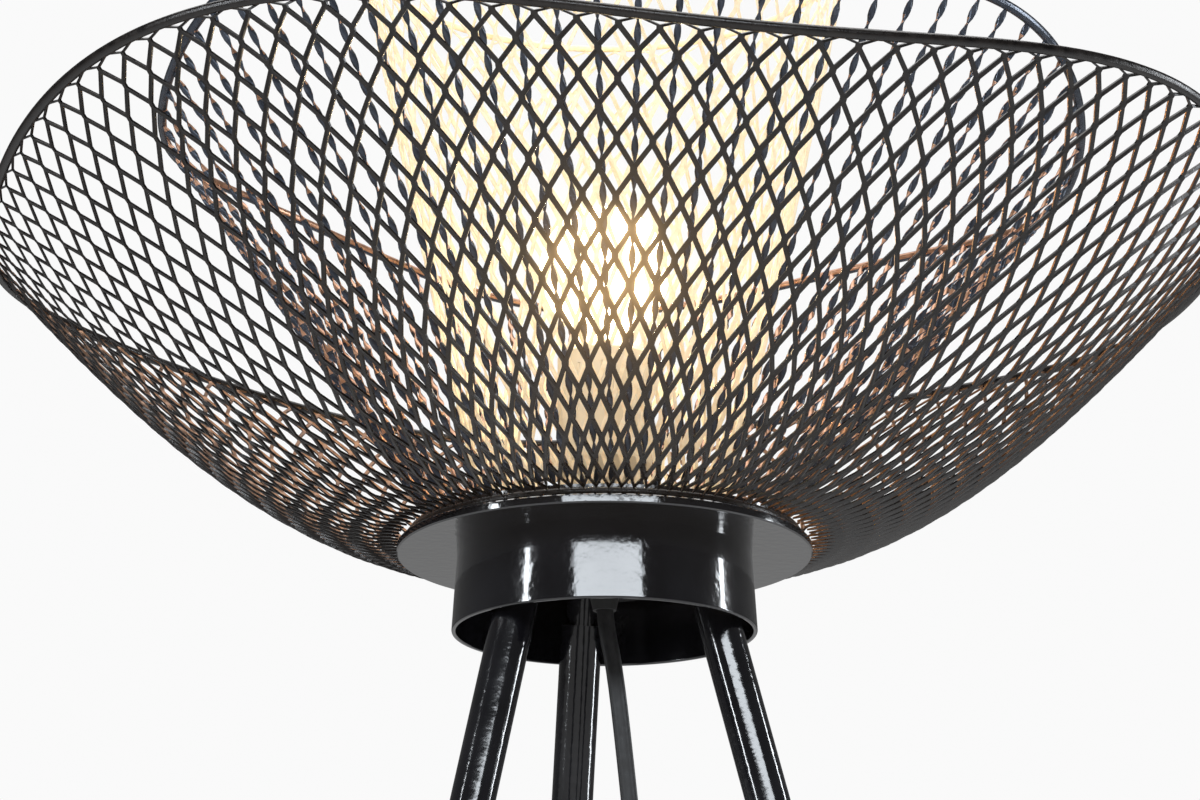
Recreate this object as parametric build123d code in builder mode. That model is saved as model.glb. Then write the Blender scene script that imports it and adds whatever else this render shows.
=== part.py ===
from build123d import *
from math import atan2, cos, degrees, hypot, pi, radians, sin, tan
import os

# A floor lamp with three nested wire baskets on a round plate, a short hub cup and three splayed tube legs.
# Millimetres, +Z up. The floor is z = 0, and the origin is the middle of the standing lamp's outline.
# The lamp's own upright axis stands a little in front of the origin, because the third foot reaches back.

os.makedirs("parts", exist_ok=True)

# Driving dimensions: stand
plate_height = 1200.0  # the plate's underside above the floor
plate_radius = 93.0
plate_thickness = 4.0
hub_rim_radius = 68.0
hub_top_radius = 66.0
hub_depth = 35.0
hub_wall = 2.0
leg_radius = 9.5
leg_wall = 1.5
leg_splay = 14.6  # degrees from upright
leg_spread = 44.0  # a leg's axis from the lamp's axis, at the plate's underside
leg_drop = 20.0  # a leg's top end below the plate's underside
leg_turns = {"right": -30.0, "back": 90.0, "left": 210.0}
bracket_radius = 56.0
bracket_thickness = 5.0
socket_radius = 7.5
stud_radius = 4.0
leg_stud_reach = 10.0  # how far a stud goes into the socket, and into the leg's end plug
end_plug_length = 12.0
foot_length = 38.0
foot_top_radius = 11.5
foot_base_radius = 13.5
foot_floor = 6.0  # rubber under the tube's end

# Driving dimensions: baskets
mesh_thickness = 1.2
rim_rod = 4.0
inner_rod = 3.0
rod_sides = 8
rim_steps = 15  # straight stretches in a quarter of a wavy rim
net_cut = 4.0  # how far an opening's cut reaches on each side of a wall's middle
outer_net = (32, 4, 3.0, 0.09, 0.97)  # diamonds round, rows, strand width, and rises of the lowest and highest tips
inner_net = (16, 5, 2.6, 0.07, 0.97)
outer_hoop_radius = 88.0
outer_rim_radius = 286.0
outer_rim_height = 143.0  # above the plate's underside, as the other rim heights
outer_squareness = 0.027  # how far a rim leaves the circle towards its four corners
outer_wave = 8.5  # how far a rim rises at its corners and dips between them
middle_hoop_radius = 70.0
middle_rim_radius = 214.0
middle_rim_height = 197.0
middle_squareness = 0.035
middle_wave = 11.0
inner_hoop_radius = 50.0
inner_rim_radius = 117.0
inner_rim_height = 300.0
rib_count = 36
rib_width = 2.8
rib_thickness = 1.2

# Driving dimensions: rings that hold the baskets' hoops down
ring_thickness = 1.5
ring_reach = 13.0  # from a hoop's centre line in to the ring's turned-down edge
ring_stud_inset = 7.5
ring_stud_radius = 2.0
ring_stud_count = 3
nut_height = 3.2
nut_flats = 7.0

# Driving dimensions: lamp holder and bulb
nipple_radius = 5.0
nipple_bore = 4.0
nipple_tail = 16.0  # below the plate's underside
nipple_head = 12.0  # into the holder's cap
hex_flats = 14.0
hex_height = 5.0
washer_radius = 9.0
washer_thickness = 1.2
riser_radius = 8.0
riser_length = 22.0
holder_radius = 21.5
holder_wall = 2.0
holder_cap_height = 28.0
holder_shell_height = 42.0
holder_mouth_radius = 15.0
core_height = 12.0
thread_radius = 14.2
thread_wall = 0.4
thread_height = 24.0
bulb_radius = 30.0
bulb_length = 105.0
bulb_cap_radius = 13.2
bulb_cap_length = 23.0
bulb_wall = 0.8
bulb_tip_radius = 4.5
insulator_length = 4.0

# Driving dimensions: cord, switch and plug
cord_width = 7.5
cord_thickness = 3.8
cord_sides = 8
cord_bed = 0.1  # under a cord that lies on the floor
coil_turn_radius = 46.0  # the outermost half turn
coil_step = 2.2  # each half turn is this much tighter than the last
coil_layer_turns = 5  # half turns in each layer
coil_lift = 8.1  # from one layer to the next
coil_bed = 1.1
coil_end_run = 14.0  # straight at both ends, clear of the turn beside them
coil_centre = (-75.0, 18.0)
tie_width = 12.0
tie_thickness = 0.8
switch_length = 92.0
switch_width = 42.0
switch_height = 24.0
switch_wall = 2.0
switch_centre = (-46.0, -137.0)
switch_floor = 4.0
button_radius = 12.0
button_travel = 2.5
button_rise = 4.5
spring_radius = 5.0
spring_wire = 0.7
spring_turns = 4
sleeve_length = 20.0
sleeve_radius = 5.6
sleeve_tip_radius = 4.6
plug_length = 36.0
plug_width = 35.0
plug_height = 13.7
pin_radius = 2.0
pin_length = 19.0
pin_spacing = 19.0

# Named clearances
seat_gap = 0.3  # between a basket's mesh and its hoop, and round parts that only lie near each other
rim_gap = 0.7  # between a basket's wall or ribs and its rim
slide_gap = 0.4  # round the button, over its whole travel
thread_gap = 0.2  # between a screw thread's plain cylinder and its nut
cord_gap = 0.25  # round the cord in a grip, sleeve or nipple


# Places that follow from the dimensions
def leg_reach(height):
    """How far a leg's axis is from the lamp's axis at a height above the floor."""
    return leg_spread + (plate_height - height) * tan(radians(leg_splay))


foot_reach = leg_reach(0) + foot_base_radius / cos(radians(leg_splay))
bowl_reach = outer_rim_radius * (1 - outer_squareness) + rim_rod / 2
axis_y = (bowl_reach - foot_reach) / 2
lamp_axis = Axis((0, axis_y, 0), (0, 0, 1))
plate_top = plate_height + plate_thickness
bracket_top = plate_height - hub_wall
bracket_base = bracket_top - bracket_thickness
leg_top = plate_height - leg_drop
holder_base = plate_top + riser_length
shell_base = holder_base + holder_cap_height
holder_top = shell_base + holder_shell_height
core_base = shell_base - core_height / 2
bulb_base = core_base + core_height + 1.0
profile_plane = Plane(origin=(0, axis_y, 0), x_dir=(1, 0, 0), z_dir=(0, -1, 0))


def level(height, x=0.0, y=0.0):
    """A level plane at a height above the floor, centred on the lamp's axis or beside it."""
    return Plane.XY.offset(height).move(Location((x, axis_y + y, 0)))


def save(piece, label):
    """Names a finished piece and writes its file."""
    piece.part.label = label
    export_step(piece.part, f"parts/{label}.step")


def ring(inner, outer, base, top):
    """A flat ring or tube about the lamp's axis."""
    with BuildPart() as made:
        with BuildSketch(level(base)):
            Circle(outer)
            if inner:
                Circle(inner, mode=Mode.SUBTRACT)
        extrude(amount=top - base)
    return made


def turned(points):
    """A solid of revolution about the lamp's axis, from its half section as radius and height."""
    with BuildPart() as made:
        with BuildSketch(profile_plane):
            with BuildLine():
                Polyline(*points, close=True)
            make_face()
        revolve(axis=lamp_axis)
    return made


def leg_plane(turn, height):
    """The plane square to a leg at a height: its z axis runs up the leg."""
    out = Vector(cos(radians(turn)), sin(radians(turn)), 0)
    centre = Vector(0, axis_y, height) + out * leg_reach(height)
    upward = out * -sin(radians(leg_splay)) + Vector(0, 0, cos(radians(leg_splay)))
    return Plane(origin=centre, x_dir=(-out.Y, out.X, 0), z_dir=upward)


# ---------------------------------------------------------------- plate, hub and bracket
stud_top = ring_thickness + rim_rod + nut_height + seat_gap + 1.5
with BuildPart() as base_plate:
    with BuildSketch(level(plate_height)):
        Circle(plate_radius)
    extrude(amount=plate_thickness)
    chamfer(base_plate.edges().filter_by(GeomType.CIRCLE), length=0.6)
    with BuildSketch(level(plate_height)):
        Circle(nipple_radius + thread_gap)
    extrude(amount=plate_thickness, mode=Mode.SUBTRACT)
    with BuildSketch(level(plate_top)):
        for hoop_radius in (outer_hoop_radius, middle_hoop_radius, inner_hoop_radius):
            with PolarLocations(hoop_radius - ring_stud_inset, ring_stud_count):
                Circle(ring_stud_radius)
    extrude(amount=stud_top)
save(base_plate, "base_plate")

hub_rim = plate_height - hub_depth
with BuildPart() as hub_cup:
    with BuildSketch(profile_plane):
        with BuildLine():
            Polyline(
                (nipple_radius + thread_gap, plate_height),
                (hub_top_radius, plate_height),
                (hub_rim_radius, hub_rim),
                (hub_rim_radius - hub_wall, hub_rim),
                (hub_top_radius - hub_wall, bracket_top),
                (nipple_radius + thread_gap, bracket_top),
                close=True,
            )
        make_face()
    revolve(axis=lamp_axis)
    fillet(hub_cup.edges().filter_by(GeomType.CIRCLE).group_by(Axis.Z)[0], radius=hub_wall * 0.45)
save(hub_cup, "hub_cup")

with BuildPart() as leg_bracket:
    with BuildSketch(level(bracket_base)):
        Circle(bracket_radius)
        Circle(nipple_radius + thread_gap, mode=Mode.SUBTRACT)
        with PolarLocations(bracket_radius, len(leg_turns), start_angle=30.0):
            Circle(bracket_radius / 3, mode=Mode.SUBTRACT)
    extrude(amount=bracket_thickness)
    for turn in leg_turns.values():
        with BuildSketch(leg_plane(turn, leg_top)):
            Circle(socket_radius)
        extrude(until=Until.NEXT)
    for turn in leg_turns.values():
        with BuildSketch(leg_plane(turn, leg_top)):
            Circle(stud_radius + thread_gap)
        extrude(amount=leg_stud_reach + seat_gap, mode=Mode.SUBTRACT)
save(leg_bracket, "leg_bracket")

# ---------------------------------------------------------------- legs, their end plugs, studs and feet
tube_end = foot_floor + leg_radius * sin(radians(leg_splay))
tube_length = (leg_top - tube_end) / cos(radians(leg_splay))
for side, turn in leg_turns.items():
    with BuildPart() as leg:
        with BuildSketch(leg_plane(turn, tube_end)):
            Circle(leg_radius)
            Circle(leg_radius - leg_wall, mode=Mode.SUBTRACT)
        extrude(amount=tube_length)
    save(leg, f"leg_{side}")

    with BuildPart() as foot:
        with BuildSketch(leg_plane(turn, 0).offset(-foot_base_radius)):
            Circle(foot_base_radius)
        extrude(amount=foot_base_radius + foot_floor)
        with BuildSketch(leg_plane(turn, 0).offset(foot_floor)):
            Circle(foot_base_radius)
        with BuildSketch(leg_plane(turn, 0).offset(foot_length)):
            Circle(foot_top_radius)
        loft()
        with BuildSketch(leg_plane(turn, tube_end)):
            Circle(leg_radius + thread_gap / 2)
        extrude(amount=foot_length, mode=Mode.SUBTRACT)
        split(bisect_by=Plane.XY, keep=Keep.TOP)
    save(foot, f"foot_{side}")

with BuildPart() as leg_end_plugs:
    for turn in leg_turns.values():
        with BuildSketch(leg_plane(turn, leg_top).offset(-end_plug_length)):
            Circle(leg_radius - leg_wall)
            Circle(stud_radius + thread_gap, mode=Mode.SUBTRACT)
    extrude(amount=end_plug_length)
save(leg_end_plugs, "leg_end_plugs")

with BuildPart() as leg_studs:
    for turn in leg_turns.values():
        with BuildSketch(leg_plane(turn, leg_top).offset(-leg_stud_reach)):
            Circle(stud_radius)
    extrude(amount=2 * leg_stud_reach)
save(leg_studs, "leg_studs")


# ---------------------------------------------------------------- baskets
def rim_point(radius, height, squareness, wave, turn):
    """A point on a rim's centre line: a circle drawn out to four corners, which also rise."""
    corner = -cos(4 * radians(turn))
    reach = radius * (1 + squareness * corner)
    return reach, plate_height + height + wave * corner


def basket_point(shape, turn, rise):
    """A point of a basket's wall, from its hoop at rise 0 to its rim at rise 1."""
    start, foot_angle, foot_pull, radius, height, squareness, wave, rim_angle, rim_pull = shape
    reach, top = rim_point(radius, height, squareness, wave, turn)
    flow = (
        start,
        (start[0] + foot_pull * cos(radians(foot_angle)), start[1] + foot_pull * sin(radians(foot_angle))),
        (reach - rim_pull * cos(radians(rim_angle)), top - rim_pull * sin(radians(rim_angle))),
        (reach, top),
    )
    weights = ((1 - rise) ** 3, 3 * rise * (1 - rise) ** 2, 3 * rise**2 * (1 - rise), rise**3)
    out = sum(w * p[0] for w, p in zip(weights, flow))
    up = sum(w * p[1] for w, p in zip(weights, flow))
    return Vector(out * cos(radians(turn)), axis_y + out * sin(radians(turn)), up)


def mesh_start(hoop_radius, rod):
    """Where a basket's wall leaves the outside of its hoop."""
    return (hoop_radius + rod / 2 + seat_gap + mesh_thickness / 2, plate_top + rod / 2)


outer_shape = (
    mesh_start(outer_hoop_radius, rim_rod), 0.0, 70.0,
    outer_rim_radius, outer_rim_height, outer_squareness, outer_wave, 46.0, 52.0,
)
inner_shape = (
    mesh_start(inner_hoop_radius, inner_rod), 78.0, 70.0,
    inner_rim_radius, inner_rim_height, 0.0, 0.0, 80.0, 80.0,
)
wall_columns = 7  # in the grid that an eighth's surface passes through
wall_rows = 8
wall_overlap = 0.6  # of a diamond's width that an eighth runs past its two cutting planes, before it is cut


def upright_plane(turn):
    """An upright plane through the lamp's axis; its normal points towards growing turns."""
    out = (cos(radians(turn)), sin(radians(turn)), 0)
    return Plane(origin=(0, axis_y, 0), x_dir=out, z_dir=(-out[1], out[0], 0))


def diamond(shape, turn, rise, half_turn, half_rise, strand):
    """A diamond opening's plane and corners, with half a strand's width left all round it."""
    east = basket_point(shape, turn + half_turn, rise)
    west = basket_point(shape, turn - half_turn, rise)
    above = basket_point(shape, turn, rise + half_rise)
    below = basket_point(shape, turn, rise - half_rise)
    side = (east - west).normalized()
    plane = Plane(origin=basket_point(shape, turn, rise), x_dir=side, z_dir=side.cross(above - below))
    half_width = (east - west).length / 2
    half_height = (above - below).length / 2
    left = 1 - strand / 2 * hypot(half_width, half_height) / (half_width * half_height)
    corners = [plane.to_local_coords(corner) for corner in (east, above, west, below)]
    return plane, [(corner.X * left, corner.Y * left) for corner in corners]


def basket_wall(shape, rod, net):
    """A basket's wall with staggered rows of diamond openings, made as an eighth that is mirrored to the whole."""
    around, rows, strand, first, last_row = net
    rim_pull = shape[-1]
    last = 1 - (rod / 2 + rim_gap) / (3 * rim_pull)
    pitch = 360.0 / around
    overlap = pitch * wall_overlap
    sweep_angle = 45.0 + 2 * overlap
    grid = [
        [
            basket_point(shape, sweep_angle * column / wall_columns - overlap, last * row / wall_rows)
            for row in range(wall_rows + 1)
        ]
        for column in range(wall_columns + 1)
    ]
    half_rise = (last_row - first) / (rows + 1)
    with BuildPart() as wall:
        thicken(Face.make_surface_from_array_of_points(grid), amount=mesh_thickness / 2, both=True)
        for row in range(rows):
            for column in range(around // 8 + 1):
                turn = (column + (row + 1) % 2 / 2) * pitch
                if turn > 45.0:
                    continue
                plane, corners = diamond(shape, turn, first + (row + 1) * half_rise, pitch / 2, half_rise, strand)
                with BuildSketch(plane):
                    Polygon(*corners, align=None)
        extrude(amount=net_cut, both=True, mode=Mode.SUBTRACT)
        split(bisect_by=upright_plane(0), keep=Keep.TOP)
        split(bisect_by=upright_plane(45), keep=Keep.BOTTOM)
        mirror(about=upright_plane(45))
        mirror(about=upright_plane(90))
        mirror(about=upright_plane(0))
    return wall


def rod_section(rod):
    """A rod's eight-sided section."""
    return RegularPolygon(rod / 2, rod_sides, rotation=180.0 / rod_sides)


def rim(radius, height, squareness, wave, rod):
    """A rim's rod: a ruled loft along a quarter of its wavy line, repeated round the lamp's axis."""
    def along(turn):
        reach, up = rim_point(radius, height, squareness, wave, turn)
        return Vector(reach * cos(radians(turn)), axis_y + reach * sin(radians(turn)), up)

    with BuildPart() as quarter:
        for step in range(rim_steps + 1):
            turn = 90.0 * step / rim_steps
            ahead = along(turn + 0.1) - along(turn - 0.1)
            out = Vector(cos(radians(turn)), sin(radians(turn)), 0)
            with BuildSketch(Plane(origin=along(turn), x_dir=out - ahead * (out.dot(ahead) / ahead.length**2),
                                   z_dir=ahead)):
                rod_section(rod)
        loft(ruled=True)
    with BuildPart() as made:
        for step in range(4):
            add(quarter.part.rotate(lamp_axis, 90.0 * step))
    return made


def hoop(radius, rod, height):
    """A round hoop about the lamp's axis, its centre line at a height above the floor."""
    with BuildPart() as made:
        with BuildSketch(profile_plane):
            with Locations((radius, height)):
                rod_section(rod)
        revolve(axis=lamp_axis)
    return made


save(basket_wall(outer_shape, rim_rod, outer_net), "outer_mesh")
save(rim(outer_rim_radius, outer_rim_height, outer_squareness, outer_wave, rim_rod), "outer_rim")
save(hoop(outer_hoop_radius, rim_rod, plate_top + rim_rod / 2), "outer_hoop")
save(basket_wall(inner_shape, inner_rod, inner_net), "inner_mesh")
save(hoop(inner_rim_radius, inner_rod, plate_height + inner_rim_height), "inner_rim")
save(hoop(inner_hoop_radius, inner_rod, plate_top + inner_rod / 2), "inner_hoop")
save(rim(middle_rim_radius, middle_rim_height, middle_squareness, middle_wave, rim_rod), "middle_rim")

# The middle basket is a cage of straight ribs, welded to its hoop, that stop just under its rim.
with BuildPart() as middle_ribs:
    with BuildSketch(profile_plane):
        with Locations((middle_hoop_radius, plate_top + rim_rod / 2)):
            rod_section(rim_rod)
    revolve(axis=lamp_axis)
    for number in range(rib_count):
        turn = 360.0 * number / rib_count
        reach, top = rim_point(middle_rim_radius, middle_rim_height, middle_squareness, middle_wave, turn)
        out = Vector(cos(radians(turn)), sin(radians(turn)), 0)
        start = Vector(0, axis_y, plate_top + rim_rod / 2) + out * middle_hoop_radius
        end = Vector(0, axis_y, top) + out * reach
        with BuildSketch(Plane(origin=start, x_dir=(-out.Y, out.X, 0), z_dir=end - start)):
            Rectangle(rib_width, rib_thickness)
        extrude(amount=(end - start).length - rim_rod / 2 - rim_gap)
save(middle_ribs, "middle_ribs")

# ---------------------------------------------------------------- rings, studs' nuts
for label, hoop_radius, rod in (
    ("outer_ring", outer_hoop_radius, rim_rod),
    ("middle_ring", middle_hoop_radius, rim_rod),
    ("inner_ring", inner_hoop_radius, inner_rod),
):
    lip = plate_top + rod
    inside = hoop_radius - ring_reach
    with BuildPart() as clamp_ring:
        with BuildSketch(profile_plane):
            with BuildLine():
                Polyline(
                    (hoop_radius, lip),
                    (hoop_radius, lip + ring_thickness),
                    (inside, lip + ring_thickness),
                    (inside, plate_top),
                    (inside + ring_thickness, plate_top),
                    (inside + ring_thickness, lip),
                    close=True,
                )
            make_face()
        revolve(axis=lamp_axis)
        with BuildSketch(level(lip)):
            with PolarLocations(hoop_radius - ring_stud_inset, ring_stud_count):
                Circle(ring_stud_radius + thread_gap)
        extrude(amount=ring_thickness, mode=Mode.SUBTRACT)
    save(clamp_ring, label)

with BuildPart() as ring_nuts:
    for hoop_radius, rod in (
        (outer_hoop_radius, rim_rod), (middle_hoop_radius, rim_rod), (inner_hoop_radius, inner_rod),
    ):
        with BuildSketch(level(plate_top + rod + ring_thickness)):
            with PolarLocations(hoop_radius - ring_stud_inset, ring_stud_count):
                RegularPolygon(nut_flats / 2, 6, major_radius=False)
                Circle(ring_stud_radius + thread_gap, mode=Mode.SUBTRACT)
        extrude(amount=nut_height)
save(ring_nuts, "ring_nuts")

# ---------------------------------------------------------------- threaded nipple and what it clamps
nipple_base = plate_height - nipple_tail
nipple_top = holder_base + nipple_head
save(ring(nipple_bore, nipple_radius, nipple_base, nipple_top), "threaded_nipple")
save(ring(nipple_radius + thread_gap, washer_radius, bracket_base - washer_thickness, bracket_base), "lock_washer")
with BuildPart() as nipple_nut:
    with BuildSketch(level(bracket_base - washer_thickness - hex_height)):
        RegularPolygon(hex_flats / 2, 6, major_radius=False)
        Circle(nipple_radius + thread_gap, mode=Mode.SUBTRACT)
    extrude(amount=hex_height)
save(nipple_nut, "nipple_nut")
save(ring(nipple_radius + thread_gap, riser_radius, plate_top, holder_base), "holder_riser")

grip_top = bracket_base - washer_thickness - hex_height - seat_gap
grip_length = 11.0
grip_lip = nipple_base - seat_gap
cord_bore = cord_width / 2 + cord_gap
cord_grip = turned(
    [
        (nipple_radius + thread_gap, grip_top),
        (nipple_radius + 2.0, grip_top),
        (nipple_radius + 2.0, grip_lip),
        (cord_bore + 1.2, grip_top - grip_length),
        (cord_bore, grip_top - grip_length),
        (cord_bore, grip_lip),
        (nipple_radius + thread_gap, grip_lip),
    ]
)
save(cord_grip, "cord_grip")

# ---------------------------------------------------------------- lamp holder
cap_neck = riser_radius + 3.0
with BuildPart() as holder_cap:
    with BuildSketch(profile_plane):
        with BuildLine():
            Polyline(
                (holder_radius, shell_base),
                (holder_radius, shell_base - 12.0),
                (cap_neck + 2.0, holder_base),
                (nipple_radius + thread_gap, holder_base),
                (nipple_radius + thread_gap, holder_base + nipple_head),
                (nipple_radius + thread_gap + holder_wall, holder_base + nipple_head),
                (nipple_radius + thread_gap + holder_wall, holder_base + holder_wall),
                (cap_neck + 2.0 - holder_wall, holder_base + holder_wall),
                (holder_radius - holder_wall, shell_base - 12.0),
                (holder_radius - holder_wall, shell_base),
                close=True,
            )
        make_face()
    revolve(axis=lamp_axis)
save(holder_cap, "holder_cap")

with BuildPart() as holder_shell:
    with BuildSketch(profile_plane):
        with BuildLine():
            Polyline(
                (holder_radius - holder_wall, shell_base),
                (holder_radius, shell_base),
                (holder_radius, holder_top - 3.0),
                (holder_radius - 3.0, holder_top),
                (holder_mouth_radius, holder_top),
                (holder_mouth_radius, holder_top - holder_wall),
                (holder_radius - holder_wall, holder_top - holder_wall - 1.0),
                close=True,
            )
        make_face()
    revolve(axis=lamp_axis)
    with BuildSketch(level(shell_base + 8.0)):
        with PolarLocations(holder_radius + 0.4, 24):
            Circle(0.9)
    extrude(amount=holder_shell_height - 18.0, mode=Mode.SUBTRACT)
save(holder_shell, "holder_shell")

contact_gap = 6.0
with BuildPart() as holder_core:
    with BuildSketch(level(core_base)):
        Circle(holder_radius - holder_wall - seat_gap)
        with PolarLocations(contact_gap * 2, 2):
            Circle(stud_radius / 2 + thread_gap, mode=Mode.SUBTRACT)
    extrude(amount=core_height - 3.0)
    with BuildSketch(level(core_base + core_height - 3.0)):
        Circle(holder_radius - holder_wall - seat_gap)
        Circle(holder_radius - holder_wall - 3.0, mode=Mode.SUBTRACT)
    extrude(amount=3.0)
save(holder_core, "holder_core")

with BuildPart() as terminal_screws:
    with BuildSketch(level(core_base + 1.0)):
        with PolarLocations(contact_gap * 2, 2):
            Circle(stud_radius / 2)
    extrude(amount=core_height - 4.0)
save(terminal_screws, "terminal_screws")

core_floor = core_base + core_height - 3.0
save(ring(thread_radius - thread_wall, thread_radius, core_floor, core_floor + thread_height), "thread_sleeve")
with BuildPart() as centre_contact:
    with BuildSketch(level(core_floor)):
        Circle(bulb_tip_radius)
    extrude(amount=bulb_base - core_floor)
save(centre_contact, "centre_contact")

# ---------------------------------------------------------------- bulb
insulator_top = bulb_base + insulator_length
cap_top = insulator_top + bulb_cap_length
bulb_centre = bulb_base + bulb_length - bulb_radius
save(turned([(0, bulb_base), (bulb_tip_radius, bulb_base), (bulb_cap_radius - 3.0, insulator_top), (0, insulator_top)]),
     "bulb_insulator")
with BuildPart() as bulb_cap:
    with BuildSketch(level(insulator_top)):
        Circle(bulb_cap_radius)
    extrude(amount=bulb_cap_length)
    with BuildSketch(level(insulator_top + 1.0)):
        Circle(bulb_cap_radius - 1.0)
    extrude(amount=bulb_cap_length - 1.0, mode=Mode.SUBTRACT)
    chamfer(bulb_cap.edges().filter_by(GeomType.CIRCLE).group_by(Axis.Z)[0], length=0.8)
save(bulb_cap, "bulb_cap")


def bulb_outline(radius, neck):
    """Half the bulb's outline: a round head that flows into its neck."""
    lean = 50.0  # degrees below the head's equator where the neck begins
    join = (radius * cos(radians(lean)), bulb_centre - radius * sin(radians(lean)))
    waist = radius * sin(radians(lean / 2)), radius * cos(radians(lean / 2))
    ThreePointArc((0, bulb_centre + radius), (radius, bulb_centre), join)
    Spline(join, (neck, cap_top), tangents=[(-sin(radians(lean)), -cos(radians(lean))), (0, -1)])
    return waist


with BuildPart() as bulb_glass:
    with BuildSketch(profile_plane):
        with BuildLine():
            bulb_outline(bulb_radius, bulb_cap_radius - 0.2)
            Line((bulb_cap_radius - 0.2, cap_top), (bulb_cap_radius - 0.2 - bulb_wall, cap_top))
            bulb_outline(bulb_radius - bulb_wall, bulb_cap_radius - 0.2 - bulb_wall)
            Line((0, bulb_centre + bulb_radius - bulb_wall), (0, bulb_centre + bulb_radius))
        make_face()
    revolve(axis=lamp_axis)
save(bulb_glass, "bulb_glass")

stem_radius = 5.0
stem_top = bulb_centre - 12.0
save(ring(0, stem_radius, insulator_top + 1.0, stem_top), "bulb_stem")
with BuildPart() as bulb_filaments:
    with BuildSketch(level(stem_top)):
        with PolarLocations(stem_radius - 1.0, 4):
            Circle(0.9)
    extrude(amount=28.0)
save(bulb_filaments, "bulb_filaments")


# ---------------------------------------------------------------- cord
def cord_point(side, forward, height):
    """A route point: to the right of the lamp's axis, in front of it, and above the floor."""
    return Vector(side, axis_y - forward, height)


def bend_radii(route):
    """Each corner's arc, as large as its two runs allow."""
    radii = []
    for before, corner, after in zip(route, route[1:], route[2:]):
        turn = radians((corner - before).get_angle(after - corner))
        run = min((corner - before).length, (after - corner).length)
        radii.append(0.45 * run / tan(turn / 2))
    return radii


def cord_tube(route, label):
    """A cord's stretch: straight runs joined by tangent arcs."""
    radii = bend_radii(route)
    print(label, "bend radii", [round(radius) for radius in radii])
    with BuildPart() as tube:
        with BuildLine() as line:
            FilletPolyline(*route, radius=radii)
        with BuildSketch(Plane(origin=route[0], z_dir=route[1] - route[0])) as section:
            RegularPolygon(cord_width / 2, cord_sides, rotation=180.0 / cord_sides)
        sweep(path=line.line)
    length = sum(edge.length for edge in line.line.edges())
    print(label, "length", round(length), "volume over section times length",
          round(tube.part.volume / (section.sketch.area * length), 4))
    save(tube, label)
    return length


def coil_arcs():
    """The coil's half turns: centre, radius, height at each end, and side, in order along the cord."""
    inward = [coil_turn_radius - coil_step * turn for turn in range(coil_layer_turns)]
    radii = inward + [inward[-1] - coil_step] + inward[::-1]
    low = coil_bed + cord_width / 2
    front = axis_y + coil_centre[1] - coil_turn_radius
    arcs = []
    for number, radius in enumerate(radii):
        rises = number == coil_layer_turns
        top = low + coil_lift if rises else low
        heading = 1 if number % 2 == 0 else -1
        back = front + heading * 2 * radius
        arcs.append(((coil_centre[0], (front + back) / 2), radius, low, top, heading))
        front, low = back, top
    return arcs


def coil_point(arc, share):
    """A point part of the way along a half turn."""
    centre, radius, low, top, heading = arc
    swing = pi * (share - 0.5)
    side = heading * cos(swing)
    return Vector(centre[0] + radius * side, centre[1] + heading * radius * sin(swing),
                  low + (top - low) * (1 + sin(swing)) / 2)


def self_gap(arcs, samples=24):
    """The least gap between turns of the coil, on points along it."""
    points = [(number + step / samples, coil_point(arc, step / samples))
              for number, arc in enumerate(arcs) for step in range(samples)]
    upright = cord_width - cord_thickness
    least = cord_width
    for place, (share, point) in enumerate(points):
        for other_share, other in points[place + 1:]:
            if other_share - share < 1.2:
                continue
            rise = max(0.0, abs(point.Z - other.Z) - upright)
            least = min(least, hypot(hypot(point.X - other.X, point.Y - other.Y), rise) - cord_thickness)
    return least


arcs = coil_arcs()
coil_start = coil_point(arcs[0], 0)
coil_end = coil_point(arcs[-1], 1)
lying = cord_width / 2 + cord_bed
entry = 7.0  # height of the switch's and the plug's sleeves
drop_start = nipple_base - 1.0
drop_route = [
    cord_point(0, 0, drop_start),
    cord_point(0, 0, 1171),
    cord_point(4.2, 0.8, 1151),
    cord_point(8.6, 2.2, 1111),
    cord_point(16.2, 4.4, 1031),
    cord_point(25.4, 7.2, 931),
    cord_point(33.4, 11.0, 829),
    cord_point(40.0, 14.4, 725),
    cord_point(45.8, 16.4, 620),
    cord_point(51.6, 16.6, 514),
    cord_point(57.6, 15.6, 408),
    cord_point(64.2, 14.6, 303),
    cord_point(70.4, 15.4, 200),
    cord_point(75.6, 19.0, 110),
    cord_point(79.0, 37.0, 50),
    cord_point(78.0, 80.0, lying),
    cord_point(66.0, 118.0, lying + 0.4),
    cord_point(40.0, 135.0, entry - 0.8),
    cord_point(switch_centre[0] + switch_length / 2 + sleeve_length - 2.0, 137.0, entry),
]
lead_route = [
    cord_point(switch_centre[0] - switch_length / 2 - sleeve_length + 2.0, 137.0, entry),
    cord_point(-136.0, 135.6, lying + 1.0),
    cord_point(-166.0, 122.0, lying),
    cord_point(-184.0, 88.0, lying),
    cord_point(-176.0, 50.0, lying),
    cord_point(-146.0, 30.0, lying + 0.4),
    coil_start - Vector(coil_end_run + 24.0, 0, 0),
    coil_start - Vector(coil_end_run, 0, 0),
]
plug_face = (-162.0, coil_end.Y)
tail_start = coil_end - Vector(coil_end_run, 0, 0)
tail_route = [
    tail_start,
    tail_start - Vector(17.0, 0, 0),
    Vector(-122.0, coil_end.Y + 0.8, entry + 0.8),
    Vector(plug_face[0] + sleeve_length - 2.0, coil_end.Y, entry),
]
drop_length = cord_tube(drop_route, "cord_drop")
lead_length = cord_tube(lead_route, "cord_lead")
tail_length = cord_tube(tail_route, "cord_tail")
inside_top = holder_base + nipple_head + 4.0
save(ring(0, cord_width / 2, drop_start, inside_top), "cord_inside")


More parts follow.
